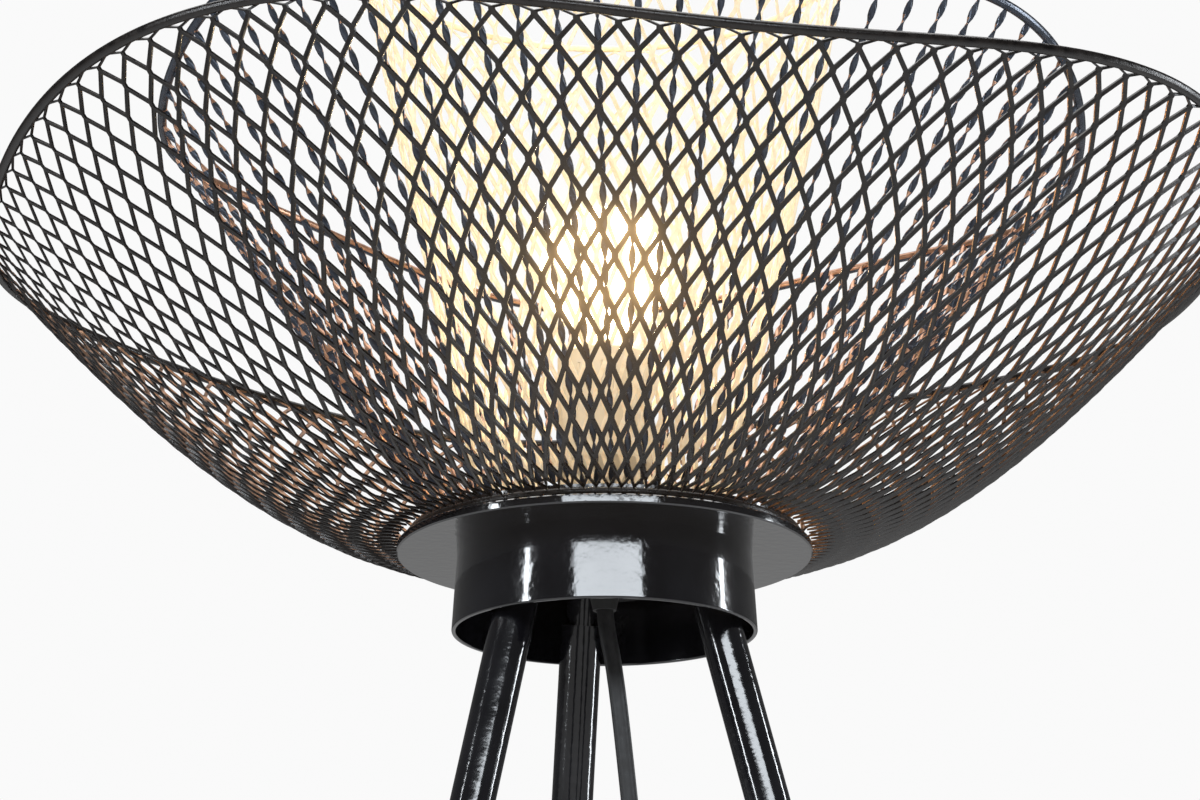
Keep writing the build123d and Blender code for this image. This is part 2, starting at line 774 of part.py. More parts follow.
with BuildPart() as cord_coil:
    with BuildLine() as coil_line:
        Line(coil_start - Vector(coil_end_run, 0, 0), coil_start)
        for arc in arcs:
            ThreePointArc(coil_point(arc, 0), coil_point(arc, 0.5), coil_point(arc, 1))
        Line(coil_end, coil_end - Vector(coil_end_run, 0, 0))
    start_plane = Plane(origin=coil_start - Vector(coil_end_run, 0, 0), x_dir=(0, 0, 1), z_dir=(1, 0, 0))
    with BuildSketch(start_plane) as coil_section:
        Rectangle(cord_width, cord_thickness)
        chamfer(coil_section.vertices(), length=cord_thickness * 0.3)
    sweep(path=coil_line.line)
coil_length = sum(edge.length for edge in coil_line.line.edges())
print("coil volume over section times length",
      round(cord_coil.part.volume / (coil_section.sketch.area * coil_length), 4))
print("coil length", round(coil_length), "least self gap", round(self_gap(arcs), 2))
save(cord_coil, "cord_coil")
print("whole cord", round(drop_length + lead_length + tail_length + coil_length + switch_length))

# A strap round the coil's turns, on the side away from its ends
tie_gap = 0.5
bundle_in = coil_turn_radius - coil_step * coil_layer_turns - cord_thickness / 2 - tie_gap
bundle_out = coil_turn_radius + cord_thickness / 2 + tie_gap
bundle_top = coil_bed + cord_width + coil_lift + tie_gap
bundle_base = coil_bed - tie_thickness / 4
tie_middle = (coil_centre[0] + (bundle_in + bundle_out) / 2, axis_y + coil_centre[1] )
with BuildPart() as cord_tie:
    with BuildSketch(Plane(origin=(tie_middle[0], tie_middle[1] - tie_width / 2, (bundle_top + bundle_base) / 2),
                           x_dir=(1, 0, 0), z_dir=(0, 1, 0))):
        RectangleRounded(bundle_out - bundle_in + 2 * tie_thickness,
                         bundle_top - bundle_base + 2 * tie_thickness, radius=2.0)
        RectangleRounded(bundle_out - bundle_in, bundle_top - bundle_base, radius=1.2, mode=Mode.SUBTRACT)
    extrude(amount=tie_width)
save(cord_tie, "cord_tie")

# ---------------------------------------------------------------- foot switch
switch_x, switch_y = switch_centre[0], switch_centre[1]
inside_length = switch_length - 2 * switch_wall
inside_width = switch_width - 2 * switch_wall
with BuildPart() as switch_base:
    with BuildSketch(level(0, switch_x, switch_y)):
        SlotOverall(switch_length, switch_width)
    extrude(amount=switch_floor)
    fillet(switch_base.edges().group_by(Axis.Z)[0], radius=1.0)
    with BuildSketch(level(switch_floor, switch_x, switch_y)):
        with GridLocations(50.0, 0, 2, 1):
            Circle(3.5)
    extrude(amount=6.0)
    with BuildSketch(level(0, switch_x, switch_y)):
        with GridLocations(50.0, 0, 2, 1):
            Circle(1.5 + thread_gap)
    extrude(amount=switch_floor + 6.0, mode=Mode.SUBTRACT)
save(switch_base, "switch_base")

with BuildPart() as switch_cover:
    with BuildSketch(level(switch_floor, switch_x, switch_y)):
        SlotOverall(switch_length, switch_width)
    extrude(amount=switch_height - switch_floor, taper=8)
    fillet(switch_cover.edges().group_by(Axis.Z)[-1], radius=3.0)
    with BuildSketch(level(switch_floor, switch_x, switch_y)):
        SlotOverall(inside_length, inside_width)
    extrude(amount=switch_height - switch_floor - switch_wall, taper=8, mode=Mode.SUBTRACT)
    with BuildSketch(level(switch_floor, switch_x, switch_y)):
        Circle(button_radius + slide_gap)
    extrude(amount=switch_height, mode=Mode.SUBTRACT)
    with BuildSketch(Plane(origin=(switch_x, axis_y + switch_y, entry), x_dir=(0, 1, 0), z_dir=(1, 0, 0))):
        Circle(sleeve_radius + seat_gap)
    extrude(amount=switch_length, both=True, mode=Mode.SUBTRACT)
save(switch_cover, "switch_cover")

button_skirt = 1.5
button_floor = switch_height - 8.0
with BuildPart() as switch_button:
    with BuildSketch(level(button_floor, switch_x, switch_y)):
        Circle(button_radius)
    extrude(amount=switch_height + button_rise - button_floor)
    fillet(switch_button.edges().group_by(Axis.Z)[-1], radius=2.5)
    with BuildSketch(level(button_floor, switch_x, switch_y)):
        Circle(button_radius - button_skirt)
    extrude(amount=6.0, mode=Mode.SUBTRACT)
save(switch_button, "switch_button")

with BuildPart() as switch_contacts:
    with BuildSketch(level(switch_floor, switch_x, switch_y)):
        Rectangle(22.0, 18.0)
    extrude(amount=6.0)
    with BuildSketch(level(switch_floor + 6.0, switch_x, switch_y)):
        with GridLocations(12.0, 10.0, 2, 2):
            Circle(1.2)
    extrude(amount=2.0)
save(switch_contacts, "switch_contacts")

spring_base = switch_floor + 6.0 + seat_gap
spring_top = button_floor + 6.0 - seat_gap
with BuildPart() as switch_spring:
    with BuildLine() as coil_path:
        Helix(
            pitch=(spring_top - spring_base - spring_wire) / spring_turns,
            height=spring_top - spring_base - spring_wire,
            radius=spring_radius,
            center=(switch_x, axis_y + switch_y, spring_base + spring_wire / 2),
        )
    with BuildSketch(Plane(origin=coil_path.line @ 0, z_dir=coil_path.line % 0)):
        RegularPolygon(spring_wire / 2, 6)
    sweep(path=coil_path.line, is_frenet=True)
save(switch_spring, "switch_spring")

with BuildPart() as switch_screws:
    with BuildSketch(level(0.6, switch_x, switch_y)):
        with GridLocations(50.0, 0, 2, 1):
            Circle(1.5)
    extrude(amount=9.0)
save(switch_screws, "switch_screws")


def sleeve(start_x, heading, y_middle, height):
    """A tapered strain-relief sleeve on a cord, from a housing's wall outwards."""
    with BuildPart() as made:
        with BuildSketch(Plane(origin=(start_x, y_middle, height), x_dir=(0, 1, 0), z_dir=(heading, 0, 0))):
            Circle(sleeve_radius)
        with BuildSketch(Plane(origin=(start_x + heading * sleeve_length, y_middle, height),
                               x_dir=(0, 1, 0), z_dir=(heading, 0, 0))):
            Circle(sleeve_tip_radius)
        loft()
        with BuildSketch(Plane(origin=(start_x, y_middle, height), x_dir=(0, 1, 0), z_dir=(heading, 0, 0))):
            Circle(cord_bore)
        extrude(amount=sleeve_length, mode=Mode.SUBTRACT)
    return made


half_switch = switch_length / 2
save(sleeve(switch_x + half_switch, 1, axis_y + switch_y, entry), "switch_sleeve_in")
save(sleeve(switch_x - half_switch, -1, axis_y + switch_y, entry), "switch_sleeve_out")

# ---------------------------------------------------------------- plug
plug_y = plug_face[1]
plug_top = entry + plug_height / 2
with BuildPart() as plug_body:
    with BuildSketch(Plane(origin=(plug_face[0], plug_y, entry), x_dir=(0, 1, 0), z_dir=(-1, 0, 0))):
        RectangleRounded(sleeve_radius * 2.2, sleeve_radius * 2, radius=sleeve_radius * 0.8)
    with BuildSketch(Plane(origin=(plug_face[0] - plug_length, plug_y, entry), x_dir=(0, 1, 0), z_dir=(-1, 0, 0))):
        RectangleRounded(plug_width, plug_height, radius=plug_height * 0.45)
    loft()
save(plug_body, "plug_body")

with BuildPart() as plug_pins:
    with BuildSketch(Plane(origin=(plug_face[0] - plug_length, plug_y, entry), x_dir=(0, 1, 0), z_dir=(-1, 0, 0))):
        with GridLocations(pin_spacing, 0, 2, 1):
            Circle(pin_radius)
    extrude(amount=pin_length)
    fillet(plug_pins.edges().group_by(Axis.X)[0], radius=pin_radius * 0.6)
save(plug_pins, "plug_pins")
save(sleeve(plug_face[0], 1, plug_y, entry), "plug_sleeve")
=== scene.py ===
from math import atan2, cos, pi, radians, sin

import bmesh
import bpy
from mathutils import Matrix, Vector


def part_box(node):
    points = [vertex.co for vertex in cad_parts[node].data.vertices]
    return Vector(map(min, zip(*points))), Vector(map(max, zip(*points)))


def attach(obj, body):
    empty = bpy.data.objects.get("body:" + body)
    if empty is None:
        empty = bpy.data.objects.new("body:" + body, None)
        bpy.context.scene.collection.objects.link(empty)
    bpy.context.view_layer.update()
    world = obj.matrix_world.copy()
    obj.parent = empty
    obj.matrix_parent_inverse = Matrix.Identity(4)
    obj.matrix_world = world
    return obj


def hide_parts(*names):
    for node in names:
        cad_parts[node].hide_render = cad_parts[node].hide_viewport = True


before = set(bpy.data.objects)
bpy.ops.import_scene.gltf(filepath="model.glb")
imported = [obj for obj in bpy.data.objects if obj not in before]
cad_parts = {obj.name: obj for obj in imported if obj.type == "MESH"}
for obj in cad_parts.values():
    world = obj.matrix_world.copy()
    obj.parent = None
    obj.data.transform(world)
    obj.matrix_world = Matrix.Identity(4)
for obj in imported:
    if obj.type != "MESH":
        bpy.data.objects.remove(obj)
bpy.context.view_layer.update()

# %% [markdown]
# # A floor lamp with three wire baskets
# The lamp stands on three splayed tube legs. A round plate on a short cup carries three baskets, one
# inside another: an expanded-metal bowl, a cage of twisted strips and a tall ivory net round the bulb.
# The imported solids already stand in metres, so this lesson only dresses them: it replaces the baskets,
# rods and cord with finer pieces, and gives every solid its finish. The first step finds the lamp's axis
# and the plate's underside from the plate's box.

plate_thickness = 0.004
plate_low, plate_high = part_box("base_plate")
axis = Vector(((plate_low.x + plate_high.x) / 2, (plate_low.y + plate_high.y) / 2, 0))
plate_base = plate_low.z
plate_top = plate_base + plate_thickness
print("lamp axis", tuple(round(v, 4) for v in axis), "plate base", round(plate_base, 4))

# %% [markdown]
# The photograph looks up at the baskets from waist height, a little over a metre away, with a long lens.
# The camera's distance, height, pitch and lens were worked out from the ellipses of the plate and the
# rims. The lens is shifted a touch sideways, which frames the picture without turning the lamp.

# %% Camera
camera_distance = 1.283
camera_azimuth = 257.7
camera_height = plate_base - 0.329
camera_pitch = 17.43
film_width = 36
lens_length = 88.68
lens_shift = -0.0038
sight = 50
camera = bpy.data.objects.new("camera", bpy.data.cameras.new("camera"))
bpy.context.scene.collection.objects.link(camera)
towards = radians(camera_azimuth)
camera.location = axis + Vector(
    (camera_distance * cos(towards), camera_distance * sin(towards), camera_height))
camera.rotation_euler = (radians(90 + camera_pitch), 0, radians(camera_azimuth - 270))
camera.data.sensor_width = film_width
camera.data.lens = lens_length
camera.data.shift_x = lens_shift
camera.data.clip_end = sight
bpy.context.scene.camera = camera
print("camera at", tuple(round(v, 3) for v in camera.location))

# %% [markdown]
# Every finish starts from the same shader, so a small helper makes it. Numbers that are the same all over
# a surface go straight onto the shader's sockets.


# %% Helper for a plain finish
def finish(name, colour, rough=0.4, metal=0.0, **sockets):
    """A material whose even values are set on the shader itself."""
    material = bpy.data.materials.new(name)
    material.use_nodes = True
    shader = material.node_tree.nodes["Principled BSDF"]
    shader.inputs["Base Color"].default_value = (*colour, 1)
    shader.inputs["Roughness"].default_value = rough
    shader.inputs["Metallic"].default_value = metal
    for socket, value in sockets.items():
        shader.inputs[socket.replace("_", " ")].default_value = value
    return material


# %% [markdown]
# Real paint and plating are never even. A noise in the piece's own coordinates moves the colour and the
# roughness a little, and a finer one lifts a shallow bump. An image could do that too, but noise has no
# seams and no edge, and needs no unwrapping.

# %% Helpers for an uneven skin
colour_stops = (0.3, 0.72)
rough_stops = (0.3, 0.7)
noise_detail = 3.0
bump_detail = 2.0
bump_finer = 6
bump_depth = 0.0004


def node(material, kind, **values):
    """Adds a shader node and sets its inputs."""
    made = material.node_tree.nodes.new(kind)
    for socket, value in values.items():
        made.inputs[socket.replace("_", " ")].default_value = value
    return made


def join(material, start, start_socket, end, end_socket):
    """Links an output of one shader node to an input of another."""
    material.node_tree.links.new(start.outputs[start_socket], end.inputs[end_socket])


def sprayed(material, scale, colours, rough, bump=0.0):
    """Noise that takes the colour from one to another, the roughness too, and lifts a bump."""
    shader = material.node_tree.nodes["Principled BSDF"]
    place = node(material, "ShaderNodeTexCoord")
    noise = node(material, "ShaderNodeTexNoise", Scale=scale, Detail=noise_detail)
    join(material, place, "Object", noise, "Vector")
    ramp = node(material, "ShaderNodeValToRGB")
    for stop, position, colour in zip(ramp.color_ramp.elements, colour_stops, colours):
        stop.position = position
        stop.color = (*colour, 1)
    join(material, noise, "Fac", ramp, "Fac")
    join(material, ramp, "Color", shader, "Base Color")
    span = node(material, "ShaderNodeMapRange", From_Min=rough_stops[0], From_Max=rough_stops[1],
                To_Min=rough[0], To_Max=rough[1])
    join(material, noise, "Fac", span, "Value")
    join(material, span, "Result", shader, "Roughness")
    if bump:
        fine = node(material, "ShaderNodeTexNoise", Scale=scale * bump_finer, Detail=bump_detail)
        join(material, place, "Object", fine, "Vector")
        lift = node(material, "ShaderNodeBump", Strength=bump, Distance=bump_depth)
        join(material, fine, "Fac", lift, "Height")
        join(material, lift, "Normal", shader, "Normal")
    return material


# %% [markdown]
# The stand is glossy black enamel over steel. Sprayed enamel has a soft orange-peel skin, so its
# highlights waver a little, and a thin clear coat keeps them sharp. The bowl and the cage are painted
# twice: black or blue-black outside, copper inside.

# %% Painted metal
black_enamel = sprayed(
    finish("black enamel", (0.009, 0.009, 0.011), Coat_Weight=0.6, Coat_Roughness=0.06),
    scale=38, colours=((0.003, 0.003, 0.004), (0.008, 0.008, 0.010)), rough=(0.08, 0.17), bump=0.4)
net_black = sprayed(
    finish("black net paint", (0.008, 0.006, 0.005), metal=0.2),
    scale=260, colours=((0.004, 0.003, 0.003), (0.014, 0.010, 0.008)), rough=(0.2, 0.36), bump=0.2)
net_copper = sprayed(
    finish("copper net paint", (0.2, 0.09, 0.045), metal=0.85),
    scale=220, colours=((0.11, 0.05, 0.022), (0.26, 0.13, 0.062)), rough=(0.26, 0.42), bump=0.2)
strip_dark = sprayed(
    finish("blue-black strip paint", (0.05, 0.06, 0.08), metal=0.6),
    scale=180, colours=((0.035, 0.044, 0.06), (0.085, 0.098, 0.125)), rough=(0.16, 0.3), bump=0.15)
strip_copper = sprayed(
    finish("rose copper strip paint", (0.46, 0.25, 0.16), metal=0.8),
    scale=180, colours=((0.34, 0.18, 0.11), (0.58, 0.34, 0.23)), rough=(0.25, 0.4), bump=0.1)
print("paints", [paint.name for paint in (black_enamel, net_black, net_copper, strip_dark, strip_copper)])

# %% [markdown]
# The inner net is thin ivory wire that the bulb lights through, so it lets some light in under its
# surface, and a faint painted glow on it stands in for the bulb's light. The holder is ivory plastic. The
# switch, the plug, the feet and the cord are black, and only their gloss tells them apart: moulded plastic
# shines, rubber and cord sheath are dull.

# %% Ivory, plastic and rubber
# The emission on the ivory wire is painted glow: the wire gives no light of its own, the bulb lights it.
ivory_net_painted_glow = sprayed(
    finish("ivory wire with painted glow", (0.8, 0.66, 0.42), Subsurface_Weight=0.25,
           Emission_Color=(1.0, 0.72, 0.4, 1), Emission_Strength=0.18),
    scale=300, colours=((0.74, 0.58, 0.34), (0.9, 0.8, 0.6)), rough=(0.35, 0.5), bump=0.2)
ivory_plastic = sprayed(
    finish("ivory holder plastic", (0.8, 0.74, 0.6)),
    scale=60, colours=((0.74, 0.67, 0.52), (0.83, 0.78, 0.65)), rough=(0.3, 0.42), bump=0.05)
black_plastic = sprayed(
    finish("black switch plastic", (0.015, 0.015, 0.016)),
    scale=500, colours=((0.011, 0.011, 0.012), (0.02, 0.02, 0.021)), rough=(0.32, 0.45), bump=0.15)
black_rubber = sprayed(
    finish("black rubber", (0.018, 0.018, 0.018)),
    scale=150, colours=((0.012, 0.012, 0.012), (0.03, 0.029, 0.028)), rough=(0.65, 0.85), bump=0.3)
cord_sheath = sprayed(
    finish("black cord sheath", (0.016, 0.016, 0.017)),
    scale=240, colours=((0.011, 0.011, 0.012), (0.026, 0.025, 0.025)), rough=(0.42, 0.6), bump=0.15)
matt_skins = (ivory_net_painted_glow, ivory_plastic, black_plastic, black_rubber, cord_sheath)
print("plastics", [skin.name for skin in matt_skins])

# %% [markdown]
# The small metal parts are bare: zinc on the steel, brass where current flows, nickel on the bulb's cap.
# They are fully metallic, and their colour is that of their reflection.

# %% Bare metals
zinc_steel = sprayed(
    finish("zinc plated steel", (0.55, 0.56, 0.57), metal=1.0),
    scale=160, colours=((0.46, 0.47, 0.48), (0.64, 0.64, 0.62)), rough=(0.28, 0.42), bump=0.1)
brass = sprayed(
    finish("plain brass", (0.68, 0.5, 0.24), metal=1.0),
    scale=160, colours=((0.6, 0.43, 0.2), (0.76, 0.58, 0.3)), rough=(0.25, 0.4), bump=0.1)
nickel = sprayed(
    finish("threaded bulb cap", (0.68, 0.68, 0.67), metal=1.0),
    scale=160, colours=((0.6, 0.6, 0.6), (0.75, 0.75, 0.73)), rough=(0.22, 0.34), bump=0.1)
print("metals", [metal.name for metal in (zinc_steel, brass, nickel)])

# %% [markdown]
# The bulb is switched on. Its glass could be clear with light inside, but seen through two nets it is
# only a bright warm ball, so the glass itself gives the light.

# %% Glass
black_glass = sprayed(
    finish("black glass insulator", (0.02, 0.02, 0.02), rough=0.1),
    scale=80, colours=((0.015, 0.015, 0.015), (0.025, 0.025, 0.025)), rough=(0.08, 0.15))
bulb_glow = finish("glowing bulb glass", (1.0, 0.93, 0.8), rough=0.25,
                   Emission_Color=(1.0, 0.8, 0.5, 1), Emission_Strength=7.0)
filament_glow = finish("glowing filament", (1.0, 0.8, 0.5),
                       Emission_Color=(1.0, 0.7, 0.36, 1), Emission_Strength=30.0)
print("glass", [glass.name for glass in (black_glass, bulb_glow, filament_glow)])

# %% [markdown]
# The cord comes before the other pieces, because its room on the floor is checked against the camera. It
# is one flat twin cord: out of the grip under the cup, down between the legs, through the foot switch and
# on into the coil and the plug. Its route is a list of given points, the same as the solids': a
# gentle hanging curve, a turn onto the floor and a loop to the coil.

# %% The cord's way to the coil
cord_width = 0.0075
cord_thickness = 0.0038
lying = 3.85


def beside(side, forward, height):
    """A place in millimetres: right of the lamp's axis, in front of it, and above the floor."""
    return axis + Vector((side, -forward, height)) / 1000


drop = [(0, 0, 1183), (0, 0, 1171), (4.2, 0.8, 1151), (8.6, 2.2, 1111), (16.2, 4.4, 1031), (25.4, 7.2, 931),
        (33.4, 11, 829), (40, 14.4, 725), (45.8, 16.4, 620), (51.6, 16.6, 514), (57.6, 15.6, 408),
        (64.2, 14.6, 303), (70.4, 15.4, 200), (75.6, 19, 110), (79, 37, 50), (78, 80, lying),
        (66, 118, lying + 0.4), (40, 135, 6.2), (18, 137, 7)]
through_switch = [(-20, 137, 7), (-70, 137, 7)]
lead = [(-110, 137, 7), (-136, 135.6, lying + 1), (-166, 122, lying), (-184, 88, lying), (-176, 50, lying),
        (-146, 30, lying + 0.4), (-113, 28, 4.85), (-89, 28, 4.85)]
print("points before the coil", len(drop) + len(through_switch) + len(lead))

# %% [markdown]
# The spare cord is wound into a low coil, one layer on another, made of half turns. Each half turn is a
# little smaller than the last, so the turns lie beside each other. At the middle the cord climbs onto its
# own turns and winds back out on top. The spline cuts inside its control points, so they are put a little
# outside the turns.

# %% The coil's points
points_per_turn = 16
turn_radius = 46.0
turn_step = 2.2
layer_turns = 5
coil_x = -75.0
coil_y = 18.0
coil_low = 4.85
coil_lift = 8.1


def coil_points():
    """The coil's control points, and how far forward it lets the cord go."""
    inward = [turn_radius - turn_step * number for number in range(layer_turns)]
    radii = inward + [inward[-1] - turn_step] + inward[::-1]
    outwards = 1 / (0.5 + 0.5 * cos(pi / points_per_turn) ** 2)
    front = coil_y - turn_radius
    height = coil_low
    points = []
    for number, radius in enumerate(radii):
        heading = 1 if number % 2 == 0 else -1
        rise = coil_lift if number == layer_turns else 0
        for step in range(points_per_turn // 2):
            swing = pi * ((step + 0.5) / (points_per_turn / 2) - 0.5)
            points.append((coil_x + outwards * heading * radius * cos(swing),
                           -(front + heading * radius + outwards * heading * radius * sin(swing)),
                           height + rise * (1 + sin(swing)) / 2))
        front += 2 * heading * radius
        height += rise
    return points, front


coil, coil_exit = coil_points()
plug_x = -162.0
tail = [(coil_x - 14, -coil_exit, coil_low + coil_lift), (coil_x - 31, -coil_exit, coil_low + coil_lift),
        (-122, -coil_exit - 0.8, 7.8), (plug_x + 18, -coil_exit, 7), (plug_x + 2, -coil_exit, 7)]
print("points in the coil", len(coil), "and after it", len(tail))

# %% [markdown]
# One smooth spline follows the whole route, as the solids do. Its order is set after its points are
# added, because before that it would stay at straight runs. Blender then gives the points along it.

# %% The cord's path
route = [beside(*place) for place in [*drop, *through_switch, *lead, *coil, *tail]]
spline_data = bpy.data.curves.new("cord_route", "CURVE")
spline_data.dimensions = "3D"
spline_data.resolution_u = 4
spline = spline_data.splines.new("NURBS")
spline.points.add(len(route) - 1)
for point, place in zip(spline.points, route):
    point.co = (*place, 1)
spline.order_u = 3
spline.use_endpoint_u = True
route_object = bpy.data.objects.new("cord_route", spline_data)
bpy.context.scene.collection.objects.link(route_object)
bpy.context.view_layer.update()
followed = bpy.data.meshes.new_from_object(route_object)
cord_path = [vertex.co.copy() for vertex in followed.vertices]
bpy.data.objects.remove(route_object)
cord_length = sum((b - a).length for a, b in zip(cord_path, cord_path[1:]))
print("cord path points", len(cord_path), "length", round(cord_length, 3))

# %% [markdown]
# A flat twin cord has two cores side by side with a groove between them. Its outline is an oval that is
# drawn in at the middle, and a ring of points in that shape is carried along the path later.

# %% The cord's outline
ring_points = 16
groove_depth = 0.3
groove_reach = 0.7
core_fullness = 1.9


def cord_ring():
    """Places round two cores side by side: how far across the cord, and how far out of its flat side."""
    ring = []
    core = cord_thickness / 2
    for step in range(ring_points):
        angle = 2 * pi * step / ring_points
        across = cord_width / 2 * cos(angle)
        groove = 1 - groove_depth * max(0.0, 1 - (abs(across) / (core * groove_reach)) ** 2)
        flat = min(1.0, abs(sin(angle)) * core_fullness)
        side = 1 if sin(angle) > 0 else -1
        ring.append((across, side * core * flat * groove))
    return ring


print("cord outline points", len(cord_ring()))

# %% [markdown]
# The cord hangs with its broad side to the front and lies flat on the floor. It turns onto its edge where
# the coil begins, as a flat cord does when it is wound, and back again before the plug. Each step
# remembers most of the direction of the step before it, so that the cord never flips over.

# %% Which way the cord's broad side lies
front_side = Vector((0.977, -0.213, 0))
points_before_floor = 12
points_after_floor = 4
steep = 0.2
memory = 0.7


def nearest(place):
    """The number of the path's point that is nearest to a place."""
    return cord_path.index(min(cord_path, key=lambda point: (point - place).length))


first_lying = [height for side, forward, height in drop].index(lying)
floor_from = nearest(beside(*drop[first_lying]))
edge_from = nearest(beside(*lead[-3]))
edge_full = nearest(beside(*lead[-1]))
edge_end = nearest(beside(*tail[1]))
edge_flat = nearest(beside(*tail[3]))
print("on the floor from point", floor_from, "and on its edge from", edge_full, "to", edge_end)


def square_to(ahead, across):
    """The part of across that stands square to the cord."""
    return (across - ahead * across.dot(ahead)).normalized()


def broad_side(number, ahead, before):
    """The direction of the cord's broad side at a point of its path."""
    landing = abs(ahead.z) > steep and number < floor_from + points_after_floor
    hanging = number < floor_from - points_before_floor or landing
    across = square_to(ahead, front_side if hanging else Vector((0, 0, 1)).cross(ahead))
    if before is None:
        return across
    if across.dot(before) < 0:
        across = -across
    return square_to(ahead, before * memory + across * (1 - memory))


def eased(value):
    """From 0 to 1 with a soft start and end."""
    value = max(0.0, min(1.0, value))
    return value * value * (3 - 2 * value)


# %% [markdown]
# Now the ring is set down at every point of the path, square to it, and each ring is joined to the one
# before. A curve's bevel could do nearly the same, but here each step says for itself which way the flat
# side lies.

# %% The cord's mesh
cord_mesh = bmesh.new()
across = None
last_loop = None
for number, place in enumerate(cord_path):
    ahead = cord_path[min(number + 1, len(cord_path) - 1)] - cord_path[max(number - 1, 0)]
    ahead.normalize()
    across = broad_side(number, ahead, across)
    onto_edge = eased((number - edge_from) / (edge_full - edge_from))
    off_edge = eased((number - edge_end) / (edge_flat - edge_end))
    turned = Matrix.Rotation(onto_edge * (1 - off_edge) * pi / 2, 3, ahead) @ across
    up = ahead.cross(turned)
    loop = [cord_mesh.verts.new(place + turned * wide + up * high) for wide, high in cord_ring()]
    if last_loop:
        for side in range(ring_points):
            following = (side + 1) % ring_points
            cord_mesh.faces.new((last_loop[side], last_loop[following], loop[following], loop[side]))
    else:
        cord_mesh.faces.new(loop)
    last_loop = loop
cord_mesh.faces.new(last_loop)
bmesh.ops.recalc_face_normals(cord_mesh, faces=cord_mesh.faces)
print("cord faces", len(cord_mesh.faces))

# %% [markdown]
# Every finished mesh becomes an object in the same way: it stays at the origin with its place in its
# points, rides on a body, takes its finishes, and hides the solid that it stands for.


# %% Helper that turns a mesh into a piece
def piece(bm, name, materials, nodes, smooth=True):
    """An object from a bmesh, that rides on the lamp in place of its solids."""
    data = bpy.data.meshes.new(name)
    bm.to_mesh(data)
    bm.free()
    made = bpy.data.objects.new(name, data)
    bpy.context.scene.collection.objects.link(made)
    for material in materials:
        data.materials.append(material)
    data.polygons.foreach_set("use_smooth", [smooth] * len(data.polygons))
    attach(made, "lamp")
    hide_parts(*nodes)
    print(name, "faces", len(data.polygons))
    return made


# %% [markdown]
# The cord becomes a piece like the others, in place of the solids of its route.

# %% The cord as a piece
cord = piece(cord_mesh, "flat_cord", [cord_sheath],
             ("cord_drop", "cord_lead", "cord_coil", "cord_tail"))

# %% [markdown]
# ## The baskets
# A basket's wall is a smooth surface from a small hoop on the plate to a wide rim. The rim is a circle
# drawn out to four soft corners, and each corner rises a little. One formula gives any point of a wall
# from its turn about the axis and its rise from hoop to rim, so nets, strips and rods all fit each other.

# %% The walls' formula
rim_corners = 4


def rim_point(radius, height, squareness, wave, turn):
    """How far out and how high a rim is, in millimetres, at a turn in degrees."""
    corner = -cos(rim_corners * radians(turn))
    return radius * (1 + squareness * corner), plate_base * 1000 + height + wave * corner


def pulled(place, angle, pull):
    """A point of a wall's outline, moved at an angle."""
    return place[0] + pull * cos(radians(angle)), place[1] + pull * sin(radians(angle))


def wall_point(shape, turn, rise):
    """A point of a wall, in metres; shape is in millimetres and degrees, and rise goes from 0 to 1."""
    foot, foot_angle, foot_pull, rim, rim_angle, rim_pull = shape
    top = rim_point(*rim, turn)
    flow = (foot, pulled(foot, foot_angle, foot_pull), pulled(top, rim_angle, -rim_pull), top)
    weights = ((1 - rise) ** 3, 3 * rise * (1 - rise) ** 2, 3 * rise**2 * (1 - rise), rise**3)
    out = sum(weight * point[0] for weight, point in zip(weights, flow)) / 1000
    up = sum(weight * point[1] for weight, point in zip(weights, flow)) / 1000
    return axis + Vector((out * cos(radians(turn)), out * sin(radians(turn)), up))


# %% [markdown]
# A rim is a radius, a height over the plate's underside, how far its corners stand out, and how far they
# rise. A wall adds where it starts on the plate, and how far and at what angle it leaves its foot and
# reaches its rim.

# %% The baskets' sizes
plate_up = plate_top * 1000
outer_rim = (286, 143, 0.027, 8.5)
middle_rim = (214, 200, 0.012, 9.5)
inner_rim = (117, 300, 0, 0)
outer_shape = ((90.9, plate_up + 2), 0, 70, outer_rim, 46, 52)
inner_shape = ((52.4, plate_up + 1.5), 78, 70, inner_rim, 80, 80)
print("outer wall reaches", [round(v, 3) for v in wall_point(outer_shape, 45, 1)])

# %% [markdown]
# Expanded metal is a sheet that is slit in staggered rows and pulled open, so it is one piece of
# six-sided cells. A line of points is spun into a closed grid, and every second upright edge is
# dissolved, in turns, like the joints of a brick wall. The uprights that stay are shrunk to the short
# bonds between two slits. The rows aren't even: the bowl's get a little lower towards its rim, and the
# inner net's are tallest at the middle.

# %% Helpers for staggered cells
bond = 0.2
hem = 0.972
rim_line = 0.994
even_rise = 0.68
above_the_lamp = axis + Vector((0, 0, 2))


def brickwork(around, rows):
    """A closed grid of staggered six-sided cells, with each vertex's column and row."""
    bm = bmesh.new()
    line = [bm.verts.new((1, 0, row)) for row in range(rows + 1)]
    uprights = [bm.edges.new(pair) for pair in zip(line, line[1:])]
    bmesh.ops.spin(bm, geom=line + uprights, axis=(0, 0, 1), cent=(0, 0, 0), angle=2 * pi,
                   steps=2 * around, use_merge=True)
    columns = {v: round(atan2(v.co.y, v.co.x) / pi * around) % (2 * around) for v in bm.verts}
    levels = {v: round(v.co.z) for v in bm.verts}
    spare = []
    for edge in bm.edges:
        one, other = edge.verts
        if columns[one] == columns[other] and (columns[one] + min(levels[one], levels[other])) % 2:
            spare.append(edge)
    bmesh.ops.dissolve_edges(bm, edges=spare)
    return bm, columns, levels


